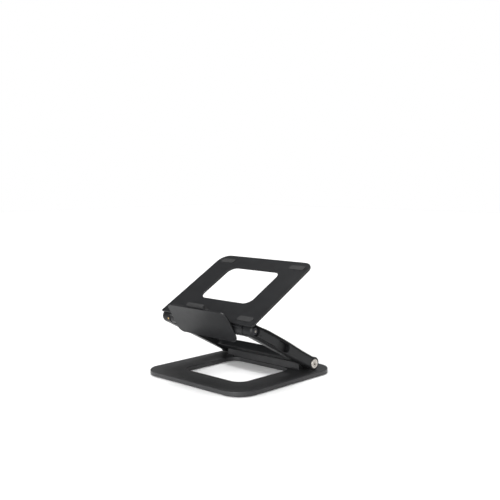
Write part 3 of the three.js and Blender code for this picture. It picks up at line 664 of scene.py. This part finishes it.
def base_plate():
    """A flat ring, with seats below for the feet and counterbored holes for the block's screws."""
    low, high = span("base_plate", BASE)
    outline = rounded_rectangle(low.xy, high.xy, BASE_CORNER, steps=32)
    half = BASE_WINDOW["half_width"]
    window = rounded_rectangle(
        (-half, BASE_WINDOW["front"]), (half, BASE_WINDOW["rear"]), BASE_WINDOW["corner"], steps=24
    )
    ring = stack(outline, rounded(low.z, high.z, BASE_BEVEL), [window])
    seat_levels = [(0, 0), (low.z + FOOT_SEAT, 0)]
    seats = [
        slab(*span(name, BASE), FOOT_CORNER, seat_levels, CLEARANCE, steps=8) for name in FEET
    ]
    holes = []
    for x in BLOCK_SCREWS:
        hole = screw_hole(-OVERRUN, BLOCK_HEAD_TOP + CLEARANCE, high.z + OVERRUN)
        holes.append(aimed(hole, UPWARD, (x, LOWER_HINGE.y / MM, 0)))
    dress("base_plate", cut(ring, *seats, *holes))


def feet():
    for name in FEET:
        low, high = span(name, BASE)
        dress(name, slab(low, high, FOOT_CORNER, rounded(low.z, high.z, FOOT_EDGE), steps=8))


def toe(low):
    """The right end's toe: it swells out of the block's front face towards the rail, in a cove."""
    tip = low.y
    floor = low.z + TOE_LIFT
    top = low.z + TOE_HEIGHT
    face = (-BLOCK_HALF, top)
    hollow = (-BLOCK_HALF - 2 * TOE_LIFT, floor + 2 * EDGE)
    cove = curve([face, hollow, (tip, floor + EDGE)], steps=8)
    inside = TOE_ROOT - BLOCK_HALF
    outline = [(tip + EDGE, floor), (inside, floor), (inside, top + OVERRUN), face] + cove
    return moved(stack(outline, rounded(TOE_INNER, TOE_OUTER, TOE_LIFT)), ALONG_X)


def hinge_block():
    """A flat-faced housing along the hinge axis, rounded on top, with a toe at each end."""
    low, high = span("hinge_block", BLOCK)
    radii = (BLOCK_FOOT_CORNER, BLOCK_FOOT_CORNER, BLOCK_CORNER, BLOCK_CORNER)
    outline = rounded_rectangle((-BLOCK_HALF, low.z), (BLOCK_HALF, high.z), *radii, steps=16)
    body = moved(stack(outline, rounded(low.x, high.x, BLOCK_EDGE)), ALONG_X)
    right_toe = toe(low)
    block = joined(body, right_toe.copy(), mirrored(right_toe))
    right_toe.free()
    bores = [
        rod(side * SHAFT_BORE_END, side * (high.x + OVERRUN), SHAFT_RADIUS + CLEARANCE)
        for side in SIDES.values()
    ]
    dress("hinge_block", cut(block, *bores), BLOCK)


def arm_outline(low, high):
    """Side outline in the arm's frame: two round ends and a top line that swells near the tray."""
    far = -ARM_LENGTH
    radius = far - low.y
    swell = high.z
    rise_middle = far + SWELL["start"] / 2
    fall_middle = far + (SWELL["full"] + SWELL["end"]) / 2
    foot_of_fall = (far + SWELL["end"], radius)
    head_of_fall = (far + SWELL["full"], swell)
    fall = [foot_of_fall, (fall_middle, radius), (fall_middle, swell), head_of_fall]
    top = [foot_of_fall] + curve(fall, steps=24)
    top += [(far + SWELL["start"], swell)]
    top += curve([top[-1], (rise_middle, swell), (rise_middle, radius), (far, radius)])
    return arc((0, 0), radius, -90, 90, 40) + top + arc((far, 0), radius, 90, 270, 40)[1:]


def fillet(radius, distance):
    """How far a round fillet stands out from a face, at a distance from the wall it meets."""
    short = max(0.0, radius - max(0.0, distance))
    return radius - math.sqrt(radius * radius - short * short)


def web():
    """The plate between the arms, lofted along x, with fillets that grow where it meets them."""
    widest = WEB_WALL - WEB_FILLET["front"]
    near_wall = [WEB_WALL - distance for distance in WEB_STATIONS]
    middle = [widest * (1 - i / WEB_MIDDLE_STEPS) for i in range(WEB_MIDDLE_STEPS + 1)]
    right = [WEB_BURIED, *near_wall, *middle]
    stations = [-x for x in right] + list(reversed(right[:-1]))
    mesh = bmesh.new()
    rings = []
    for x in stations:
        distance = WEB_WALL - abs(x)
        swell = (WEB["front_middle"] - WEB["front_side"]) * max(0.0, 1 - (x / widest) ** 2)
        front = -WEB["front_side"] - swell - fillet(WEB_FILLET["front"], distance)
        low = (front, -WEB["below"] - fillet(WEB_FILLET["below"], distance))
        high = (-WEB["rear"], WEB["above"] + fillet(WEB_FILLET["above"], distance))
        section = rounded_rectangle(low, high, WEB_CORNER, steps=5)
        rings.append([mesh.verts.new((x, y, z)) for y, z in section])
    skin(mesh, rings)
    fill(mesh, [rings[0]])
    fill(mesh, [rings[-1]])
    return closed(mesh)


def tension_axis():
    """Direction and start of the tension screw in the arm's frame: forward and a little down."""
    angle = math.radians(TENSION_SCREW["angle"])
    direction = ARM.to_3x3().inverted() @ Vector((0, -math.cos(angle), -math.sin(angle)))
    return direction, (TENSION_SCREW["x"], -ARM_LENGTH, 0)


def arm_solid(low, high):
    """The right arm: a rounded bar with a round knuckle at each end."""
    outer = high.x
    radius = -ARM_LENGTH - low.y
    bar = stack(arm_outline(low, high), rounded(ARM_INNER, outer, ARM_ROUNDING, steps=10))
    lower_levels = rounded(ARM_INNER, outer, KNUCKLE_ROUNDING)
    upper_levels = rounded(ARM_INNER, UPPER_KNUCKLE_OUTER, EDGE)
    lower_knuckle = stack(circle(high.y, steps=96), lower_levels)
    upper_knuckle = stack(circle(radius - SLIVER, steps=96), upper_levels)
    return joined(
        moved(bar, ALONG_X),
        moved(lower_knuckle, ALONG_X),
        at(moved(upper_knuckle, ALONG_X), y=-ARM_LENGTH),
    )


def arm_hollows(outer):
    """Tools for the right arm: the cap's pocket, the cover's channel, and the two bores."""
    outside = outer + OVERRUN
    pocket_radius = LOWER_POCKET["radius"]
    pocket = turned([
        (LOWER_POCKET["floor"], 0),
        (LOWER_POCKET["floor"], pocket_radius),
        (outer - MOUTH_FLARE, pocket_radius),
        (outer + MOUTH_FLARE, pocket_radius + 2 * MOUTH_FLARE),
        (outside, pocket_radius + 2 * MOUTH_FLARE),
        (outside, 0),
    ])
    channel_levels = [
        (CHANNEL["floor"], 0),
        (outer - MOUTH_FLARE, 0),
        (outer + MOUTH_FLARE, -2 * MOUTH_FLARE),
        (outside, -2 * MOUTH_FLARE),
    ]
    channel = stack(stadium(CHANNEL["length"], CHANNEL["radius"]), channel_levels)
    channel = at(moved(channel, ALONG_X), y=-ARM_LENGTH)
    bush_bore = rod(ARM_INNER - OVERRUN, outer, BUSH_SEAT)
    pin_bore = at(rod(ARM_INNER - OVERRUN, outer, SHAFT_RADIUS + CLEARANCE), y=-ARM_LENGTH)
    return pocket, channel, bush_bore, pin_bore


def arm_frame():
    """Both arms and the web between them, one casting, with the tension screw's hole."""
    low, high = span("arm_frame", ARM)
    arm = cut(arm_solid(low, high), *arm_hollows(high.x))
    whole = joined(arm, mirrored(arm), web())
    hole = rod(**TENSION_HOLE)
    dress("arm_frame", cut(whole, aimed(hole, *tension_axis())), ARM)


def lower_caps():
    """Round caps with a ring groove and a key socket in their outer faces."""
    low, high = span("lower_cap_right", ARM)
    outer = high.x
    radius = high.y
    groove = CAP_GROOVE
    groove_floor = outer - groove["depth"]
    cap = turned([
        (low.x, 0),
        (low.x, radius - CAP_CHAMFER),
        (low.x + CAP_CHAMFER, radius),
        *rim(outer, radius, CAP_RIM, steps=6),
        (outer, groove["outer"]),
        (groove_floor, groove["outer"] - groove["slope"]),
        (groove_floor, groove["inner"] + groove["slope"]),
        (outer, groove["inner"]),
        (outer, 0),
    ], steps=96)
    dress_pair("lower_cap", cut(cap, hex_socket(outer, **CAP_SOCKET)), ARM)


def side_covers():
    """Strips with a concave end that clears the pin's head, and a hole for the rivet."""
    low, high = span("side_cover_right", ARM_END)
    outline = rounded_rectangle((low.y, low.z), (high.y, high.z), COVER_CORNER, steps=6)
    strip = moved(stack(outline, rounded(low.x, high.x, EDGE)), ALONG_X)
    head_room = rod(low.x - OVERRUN, high.x + OVERRUN, COVER_NOSE, steps=96)
    rivet_hole = rod(high.x - RIVET["depth"], high.x + OVERRUN, RIVET["hole"], steps=32)
    rivet_hole = at(rivet_hole, y=RIVET["along"], z=RIVET["across"])
    dress_pair("side_cover", cut(strip, head_room, rivet_hole), ARM_END)


def cover_rivets():
    """Domed rivets, turned about their own axes."""
    low, high = span("cover_rivet_right", ARM_END)
    radius = (high.y - low.y) / 2
    dome = rim(high.x, radius, RIVET["rim"])
    rivet = turned([(low.x, 0), (low.x, radius), *dome, (high.x, 0)], steps=48)
    middle = Vector((0, RIVET["along"], RIVET["across"])) * MM
    dress_pair("cover_rivet", rivet, ARM_END @ Matrix.Translation(middle))


def upper_pins():
    """Pins with a wide head, hollowed for the screw that locks them."""
    low, high = span("upper_pin_right", ARM_END)
    outer = high.x
    head = high.y
    head_from = CHANNEL["floor"] + CLEARANCE
    pin = turned([
        (low.x, 0),
        (low.x, SHAFT_RADIUS - EDGE),
        (low.x + EDGE, SHAFT_RADIUS),
        (head_from, SHAFT_RADIUS),
        (head_from, head),
        *rim(outer, head, PIN_RIM),
        (outer, LOCK["recess"] + LOCK["chamfer"]),
        (outer - LOCK["chamfer"], LOCK["recess"]),
        (LOCK["seat"], LOCK["recess"]),
        (LOCK["seat"], LOCK["shank"] + CLEARANCE),
        (LOCK["end"], LOCK["shank"] + CLEARANCE),
        (LOCK["end"], 0),
    ], steps=96)
    dress_pair("upper_pin", pin, ARM_END)


def upper_pin_screws():
    """The bright screws in the pins' heads, with a key socket."""
    low, high = span("upper_pin_screw_right", ARM_END)
    head_from = LOCK["seat"] + CLEARANCE
    screw = turned([
        (low.x, 0),
        (low.x, LOCK["shank"]),
        (head_from, LOCK["shank"]),
        (head_from, high.y),
        *rim(high.x, high.y, LOCK["rim"]),
        (high.x, 0),
    ])
    dress_pair("upper_pin_screw", cut(screw, hex_socket(high.x, **LOCK_SOCKET)), ARM_END)


def tension_screw():
    """A brass grub screw in the left upper knuckle."""
    start = TENSION_SCREW["start"]
    end = TENSION_SCREW["end"]
    radius = TENSION_SCREW["radius"]
    nose = rim(end, radius, TENSION_SCREW["rim"])
    screw = turned([(start, 0), (start, radius), *nose, (end, 0)], steps=48)
    screw = cut(screw, hex_socket(end, **TENSION_SOCKET))
    dress("tension_screw", screw, facing(ARM, *tension_axis()))


def bush(name, place):
    """A sleeve in its bore, with a flange that runs in the gap between barrel and arm."""
    low, high = span(name + "_right", place)
    near, far = FLANGE_SPACE
    flange = [
        (near, high.y - FLANGE_EDGE),
        (near + FLANGE_EDGE, high.y),
        (far - FLANGE_EDGE, high.y),
        (far, high.y - FLANGE_EDGE),
    ]
    if low.x < near:
        sleeve = [(low.x, BUSH_INNER), (low.x, BUSH_OUTER), (near, BUSH_OUTER)]
        profile = sleeve + flange + [(far, BUSH_INNER)]
    else:
        sleeve = [(far, BUSH_OUTER), (high.x, BUSH_OUTER), (high.x, BUSH_INNER)]
        profile = [(near, BUSH_INNER)] + flange + sleeve
    dress_pair(name, turned(profile, ring=True), place)


def tray_plate():
    """A plate with a window, and shallow seats on top for the pads."""
    low, high = span("tray_plate", TRAY)
    radii = (TRAY_FRONT_CORNER, TRAY_FRONT_CORNER, TRAY_REAR_CORNER, TRAY_REAR_CORNER)
    outline = rounded_rectangle(low.xy, high.xy, *radii, steps=24)
    half = TRAY_WINDOW["half_width"]
    window = rounded_rectangle(
        (-half, TRAY_WINDOW["front"]), (half, TRAY_WINDOW["rear"]), TRAY_WINDOW["corner"], steps=20
    )
    plate = stack(outline, rounded(low.z, high.z, EDGE), [window])
    seats = []
    for name in TRAY_PADS:
        pad_low, pad_high = span(name, TRAY)
        seat_levels = [(pad_low.z - CLEARANCE, 0), (high.z + OVERRUN, 0)]
        seats.append(slab(pad_low, pad_high, PAD_CORNER, seat_levels, CLEARANCE))
    dress("tray_plate", cut(plate, *seats), TRAY)


def tray_pads():
    for name in TRAY_PADS:
        low, high = span(name, TRAY)
        pad = slab(low, high, PAD_CORNER, rounded(low.z, high.z, PAD_EDGE, steps=4))
        made = dress(name, pad, TRAY)


def tray_block():
    """A barrel between the arms' ends, running up into a flange under the tray plate."""
    low, high = span("tray_block", TRAY)
    flange_bottom = TRAY_FLANGE["bottom"]
    flange_front = TRAY_FLANGE["front"]
    front_angle = math.degrees(math.acos(flange_front / BARREL_RADIUS))
    barrel = arc((0, 0), BARREL_RADIUS, front_angle, 360 + TRAY_FLANGE["barrel_angle"], 64)
    start = Vector(barrel[-1])
    root = (TRAY_FLANGE["root"], flange_bottom)
    sweep = curve([start, start + Vector(TRAY_FLANGE["cove"]), root])
    outline = barrel + sweep + [(high.y, flange_bottom), (high.y, high.z), (flange_front, high.z)]
    block = moved(stack(outline, rounded(low.x, high.x, TRAY_BLOCK_EDGE)), ALONG_X)
    seats = [
        rod(side * SHAFT_BORE_END, side * (high.x + OVERRUN), BUSH_SEAT)
        for side in SIDES.values()
    ]
    holes = []
    for x in TRAY_SCREWS:
        hole = rod(0, high.z + OVERRUN, SCREW_HOLE, steps=32)
        holes.append(aimed(hole, UPWARD, (x, TRAY_SCREW_Y, 0)))
    reach = BARREL_RADIUS + OVERRUN
    for x in PANEL_SCREWS:
        holes.append(aimed(screw_hole(-reach, PANEL_SCREW_SEAT, reach), FORWARD, (x, 0, 0)))
    dress("tray_block", cut(block, *seats, *holes), TRAY)


def bow(z, top):
    """How far the front panel leans forward at height z in the tray's frame."""
    rise = max(0.0, z - PANEL_STRAIGHT) / (top - PANEL_STRAIGHT)
    return PANEL_LEAN * rise * rise


def add_loops(mesh, low, high, first=0):
    """Cuts loops from low to just under high, for a bend; first is 1 where low has a loop."""
    for i in range(first, BEND_STEPS):
        height = low + (high - low) * i / BEND_STEPS
        bmesh.ops.bisect_plane(
            mesh,
            geom=[*mesh.verts, *mesh.edges, *mesh.faces],
            plane_co=(0, 0, height),
            plane_no=UPWARD,
        )


def front_panel():
    """The stop: an upright plate with round corners that leans forward towards its top."""
    low, high = span("front_panel", TRAY)
    back = high.y
    front = low.y + PANEL_LEAN
    outline = rounded_rectangle((low.x, low.z), (high.x, high.z), PANEL_CORNER, steps=20)
    plate = moved(stack(outline, rounded(-back, -front, PANEL_EDGE)), TO_FRONT)
    add_loops(plate, PANEL_STRAIGHT, high.z)
    for vertex in plate.verts:
        vertex.co.y -= bow(vertex.co.z, high.z)
    dress("front_panel", closed(plate), TRAY)


def lip_pad():
    """A soft tongue that rises behind the panel's top edge, on a wider foot."""
    low, high = span("lip_pad", TRAY)
    panel_top = span("front_panel", TRAY)[1].z
    back = high.y
    front = span("front_panel", TRAY)[1].y + CLEARANCE
    half = LIP["half_width"]
    shoulder = half + LIP["shoulder"]
    top = high.z
    neck_out, neck_drop = LIP["neck"]
    right = [(shoulder, panel_top - LIP["foot_drop"])]
    neck = (half + neck_out, panel_top - neck_drop)
    right += curve([right[-1], neck, (half, top - LIP_CORNER["height"])])
    corner = (half - LIP_CORNER["lean"], top)
    right += curve([right[-1], corner, (half - LIP_CORNER["width"], top)])
    left = [(-u, v) for u, v in reversed(right)]
    outline = [(-shoulder, low.z), (shoulder, low.z)] + right + left
    tongue = moved(stack(outline, rounded(-back, -front, LIP_EDGE)), TO_FRONT)
    add_loops(tongue, low.z, top, first=1)
    for vertex in tongue.verts:
        share = (back - vertex.co.y) / (back - front)
        vertex.co.y -= bow(vertex.co.z, panel_top) * share
    made = dress("lip_pad", closed(tongue), TRAY)


def headed_screw(head_from, head_to, tip):
    """A screw along X with its head at the low end and a hexagonal socket in it."""
    screw = turned([
        (head_from, 0),
        (head_from, SCREW_HEAD - SCREW_EDGE),
        (head_from + SCREW_EDGE, SCREW_HEAD),
        (head_to, SCREW_HEAD),
        (head_to, SCREW_SHANK),
        (tip - SCREW_EDGE, SCREW_SHANK),
        (tip, SCREW_SHANK - SCREW_EDGE),
        (tip, 0),
    ], steps=48)
    socket_floor = head_from + SCREW_SOCKET["depth"]
    socket = rod(head_from - OVERRUN, socket_floor, SCREW_SOCKET["radius"], steps=6)
    return cut(screw, socket)


def block_screws():
    for i, x in enumerate(BLOCK_SCREWS):
        name = f"hinge_block_screw_{i + 1}"
        low, high = span(name, BASE)
        screw = headed_screw(low.z, BLOCK_HEAD_TOP, high.z)
        dress(name, screw, facing(BASE, UPWARD, (x, LOWER_HINGE.y / MM, 0)))


def tray_screws():
    for i, x in enumerate(TRAY_SCREWS):
        name = f"tray_screw_{i + 1}"
        low, high = span(name, TRAY)
        screw = headed_screw(low.z, TRAY_FLANGE["bottom"] - CLEARANCE, high.z)
        dress(name, screw, facing(TRAY, UPWARD, (x, TRAY_SCREW_Y, 0)))


def panel_screws():
    for i, x in enumerate(PANEL_SCREWS):
        name = f"panel_screw_{i + 1}"
        low, high = span(name, TRAY)
        screw = headed_screw(-high.y, PANEL_SCREW_SEAT - CLEARANCE, -low.y)
        dress(name, screw, facing(TRAY, FORWARD, (x, 0, 0)))


def hidden_hardware():
    """The shafts and washers inside the knuckles keep their CAD shape and get a finish."""
    for name, obj in frame["nodes"].items():
        if not obj.hide_render:
            obj.data.materials.clear()
            obj.data.materials.append(MATERIALS[SLOT_OF[name]])


base_plate()
feet()
hinge_block()
block_screws()
arm_frame()
lower_caps()
side_covers()
cover_rivets()
upper_pins()
upper_pin_screws()
tension_screw()
bush("lower_bush", ARM)
bush("upper_bush", TRAY)
tray_plate()
tray_pads()
tray_block()
front_panel()
lip_pad()
tray_screws()
panel_screws()
hidden_hardware()


# ---- Floor, light and camera --------------------------------------------------------------------

FLOOR_REACH = 6.0
FLOOR_TONES = (0.79, 0.81)
FLOOR_GLOW = 0.06
WALL_GLOW = 0.2
CEILING_GLOW = 0.08
# Where the walls' glow starts to fall and where the ceiling's is reached, as the sine of the
# angle above level.
WALL_TOP = 0.15
CEILING_START = 0.7
WHITE = (1, 1, 1, 1)

CAMERA_PLACE = (0.96844, -0.99871, 0.35771)
CAMERA_TURN = (84.607, 0, 43.309)
CAMERA_LENS = 55.6
CAMERA_SENSOR = 36


def floor():
    """A wide pale floor, faintly lit from within as a light table is; the feet stand on it."""
    mesh = bmesh.new()
    corners = ((-1, -1), (1, -1), (1, 1), (-1, 1))
    mesh.faces.new([mesh.verts.new((x * FLOOR_REACH, y * FLOOR_REACH, 0)) for x, y in corners])
    made = linked("floor", mesh)
    finish, tree, surface = shader(Roughness=0.9)
    mottle = between(tree, noise(tree, size=0.4), 0, 1)
    dark, light = [(tone, tone, tone) for tone in FLOOR_TONES]
    tree.links.new(blended(tree, mottle, dark, light), surface.inputs["Base Color"])
    surface.inputs["Specular IOR Level"].default_value = 0.0
    surface.inputs["Emission Color"].default_value = WHITE
    surface.inputs["Emission Strength"].default_value = FLOOR_GLOW
    made.data.materials.append(finish)


def background(tree, strength):
    """A background whose strength is a number or another node's output."""
    made = node(tree, "ShaderNodeBackground")
    made.inputs["Color"].default_value = WHITE
    if isinstance(strength, bpy.types.NodeSocket):
        tree.links.new(strength, made.inputs["Strength"])
    else:
        made.inputs["Strength"].default_value = strength
    return made.outputs["Background"]


def room():
    """Pale walls under a dim ceiling, which only light the stand: the camera sees plain white."""
    world = bpy.data.worlds.new("studio")
    bpy.context.scene.world = world
    world.use_nodes = True
    tree = world.node_tree
    tree.nodes.clear()
    output = node(tree, "ShaderNodeOutputWorld")
    mix = node(tree, "ShaderNodeMixShader")
    path = node(tree, "ShaderNodeLightPath")
    where = node(tree, "ShaderNodeTexCoord")
    parts = node(tree, "ShaderNodeSeparateXYZ")
    tree.links.new(where.outputs["Generated"], parts.inputs["Vector"])
    rise = parts.outputs["Z"]
    glow = between(tree, rise, WALL_GLOW, CEILING_GLOW, near=WALL_TOP, far=CEILING_START)
    tree.links.new(path.outputs["Is Camera Ray"], mix.inputs["Fac"])
    tree.links.new(background(tree, glow), mix.inputs[1])
    tree.links.new(background(tree, 1.0), mix.inputs[2])
    tree.links.new(mix.outputs["Shader"], output.inputs["Surface"])


def distant_light(name, energy, spread, turn):
    """A sun lamp; spread is how many degrees of the sky it fills, and turn is in degrees too."""
    light = bpy.data.lights.new(name, "SUN")
    light.energy = energy
    light.angle = math.radians(spread)
    made = bpy.data.objects.new(name, light)
    bpy.context.scene.collection.objects.link(made)
    made.rotation_euler = [math.radians(angle) for angle in turn]


def camera():
    """The view from the front right, a little above the tray."""
    data = bpy.data.cameras.new("camera")
    data.sensor_width = CAMERA_SENSOR
    data.lens = CAMERA_LENS
    made = bpy.data.objects.new("camera", data)
    bpy.context.scene.collection.objects.link(made)
    made.location = CAMERA_PLACE
    made.rotation_euler = [math.radians(angle) for angle in CAMERA_TURN]
    bpy.context.scene.camera = made


floor()
room()
# A light above the stand, and a broad one low in front of it that lifts the upright faces.
distant_light("overhead", energy=2.8, spread=30, turn=(-14, -9, 0))
distant_light("fill", energy=5.0, spread=60, turn=(68, 0, 12))
camera()
bpy.context.scene.view_settings.view_transform = "Standard"
